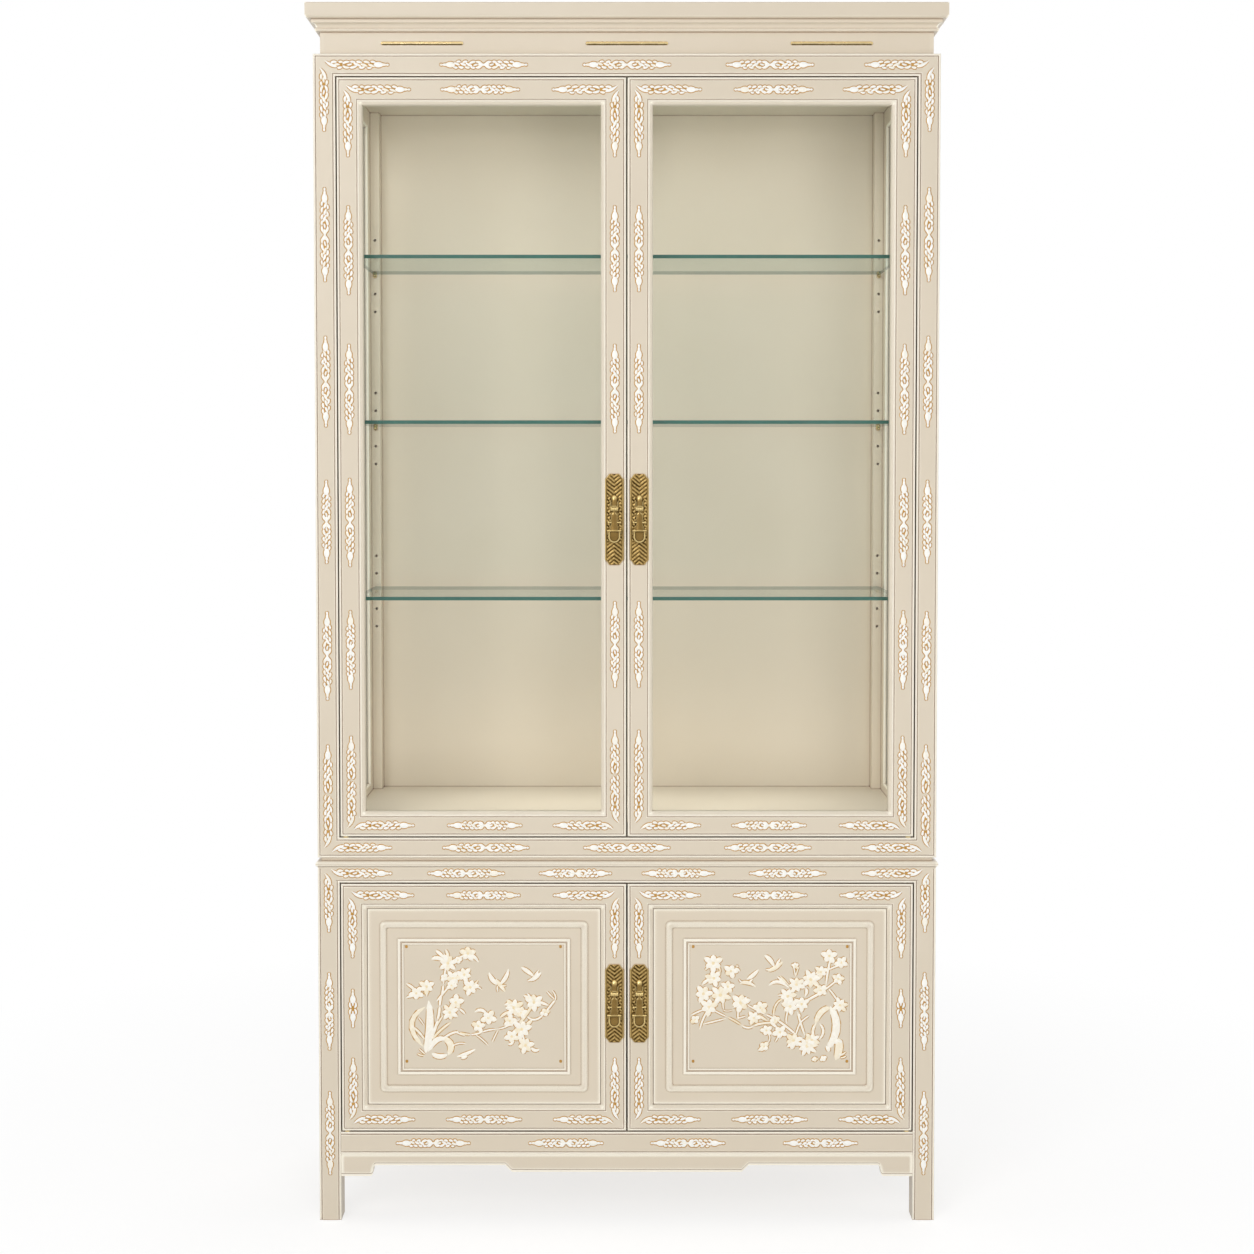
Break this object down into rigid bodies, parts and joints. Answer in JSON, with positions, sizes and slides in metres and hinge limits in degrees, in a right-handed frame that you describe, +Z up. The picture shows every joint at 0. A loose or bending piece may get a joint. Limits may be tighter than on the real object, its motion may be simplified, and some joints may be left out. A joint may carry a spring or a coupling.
{
  "type": "hutch cabinet",
  "caption": "Tall display hutch in cream lacquer: glazed doors and glass shelves over a panelled cupboard base, with shell inlay, brass drop pulls and a stepped cornice.",
  "frame": {"origin": "on the floor, under the middle of the overall box", "axes": "+Z up, +X to the right seen from the front, +Y towards the back"},
  "size_m": [1.038, 0.4111, 1.993],
  "materials": {
    "cream_lacquer": "satin cream lacquer with a warm glaze rubbed into the quirks",
    "plain_wood": "sealed pale wood, out of sight",
    "aged_brass": "polished brass, lightly aged",
    "clear_glass": "clear float glass, greenish at the edge"
  },
  "bodies": {
    "cabinet": {"back_panels": "cream_lacquer", "back_rails": "plain_wood", "base_aprons": "cream_lacquer", "base_back_posts": "cream_lacquer", "base_bottom_rail": "cream_lacquer", "base_floor_board": "plain_wood", "base_front_posts": "cream_lacquer", "base_shelf": "plain_wood", "base_shelf_cleats": "plain_wood", "base_side_panels": "cream_lacquer", "base_side_rails": "cream_lacquer", "base_top_board": "cream_lacquer", "base_top_rail": "cream_lacquer", "cornice_cap": "cream_lacquer", "cornice_mouldings": "cream_lacquer", "frieze_boards": "cream_lacquer", "frieze_brass_strips": "aged_brass", "glass_shelf_bottom": "clear_glass", "glass_shelf_middle": "clear_glass", "glass_shelf_top": "clear_glass", "locating_plinth": "plain_wood", "pivot_bushes": "aged_brass", "shelf_pin_strips": "cream_lacquer", "shelf_pins": "aged_brass", "side_glass_panes": "clear_glass", "side_glazing_strips": "cream_lacquer", "upper_back_posts": "cream_lacquer", "upper_bottom_rail": "cream_lacquer", "upper_ceiling_board": "cream_lacquer", "upper_floor_board": "cream_lacquer", "upper_front_posts": "cream_lacquer", "upper_side_rails": "cream_lacquer", "upper_top_rail": "cream_lacquer"},
    "base_door_left": {"base_door_left_panel": "cream_lacquer", "base_door_left_pivot_pins": "aged_brass", "base_door_left_pull_plate": "aged_brass", "base_door_left_rails": "cream_lacquer", "base_door_left_stiles": "cream_lacquer"},
    "base_door_left_drop": {"base_door_left_pull_drop": "aged_brass"},
    "base_door_right": {"base_door_right_panel": "cream_lacquer", "base_door_right_pivot_pins": "aged_brass", "base_door_right_pull_plate": "aged_brass", "base_door_right_rails": "cream_lacquer", "base_door_right_stiles": "cream_lacquer"},
    "base_door_right_drop": {"base_door_right_pull_drop": "aged_brass"},
    "glass_door_left": {"glass_door_left_glazing_beads": "cream_lacquer", "glass_door_left_pane": "clear_glass", "glass_door_left_pivot_pins": "aged_brass", "glass_door_left_pull_plate": "aged_brass", "glass_door_left_rails": "cream_lacquer", "glass_door_left_stiles": "cream_lacquer"},
    "glass_door_left_drop": {"glass_door_left_pull_drop": "aged_brass"},
    "glass_door_right": {"glass_door_right_glazing_beads": "cream_lacquer", "glass_door_right_pane": "clear_glass", "glass_door_right_pivot_pins": "aged_brass", "glass_door_right_pull_plate": "aged_brass", "glass_door_right_rails": "cream_lacquer", "glass_door_right_stiles": "cream_lacquer"},
    "glass_door_right_drop": {"glass_door_right_pull_drop": "aged_brass"}
  },
  "joints": [
    {"name": "glass_door_left_hinge", "type": "hinge", "parent": "cabinet", "child": "glass_door_left", "pos_m": [-0.462, -0.18845, 1.2565], "axis": [0, 0, -1], "range_deg": [0, 110]},
    {"name": "glass_door_left_pull_swing", "type": "hinge", "parent": "glass_door_left", "child": "glass_door_left_drop", "pos_m": [-0.0205, -0.20195, 1.1762], "axis": [-1, 0, 0], "range_deg": [0, 95]},
    {"name": "glass_door_right_hinge", "type": "hinge", "parent": "cabinet", "child": "glass_door_right", "pos_m": [0.462, -0.18845, 1.2565], "axis": [0, 0, 1], "range_deg": [0, 110]},
    {"name": "glass_door_right_pull_swing", "type": "hinge", "parent": "glass_door_right", "child": "glass_door_right_drop", "pos_m": [0.0205, -0.20195, 1.1762], "axis": [-1, 0, 0], "range_deg": [0, 95]},
    {"name": "base_door_left_hinge", "type": "hinge", "parent": "cabinet", "child": "base_door_left", "pos_m": [-0.462, -0.18845, 0.35475], "axis": [0, 0, -1], "range_deg": [0, 110]},
    {"name": "base_door_left_pull_swing", "type": "hinge", "parent": "base_door_left", "child": "base_door_left_drop", "pos_m": [-0.0205, -0.20195, 0.3792], "axis": [-1, 0, 0], "range_deg": [0, 95]},
    {"name": "base_door_right_hinge", "type": "hinge", "parent": "cabinet", "child": "base_door_right", "pos_m": [0.462, -0.18845, 0.35475], "axis": [0, 0, 1], "range_deg": [0, 110]},
    {"name": "base_door_right_pull_swing", "type": "hinge", "parent": "base_door_right", "child": "base_door_right_drop", "pos_m": [0.0205, -0.20195, 0.3792], "axis": [-1, 0, 0], "range_deg": [0, 95]}
  ]
}
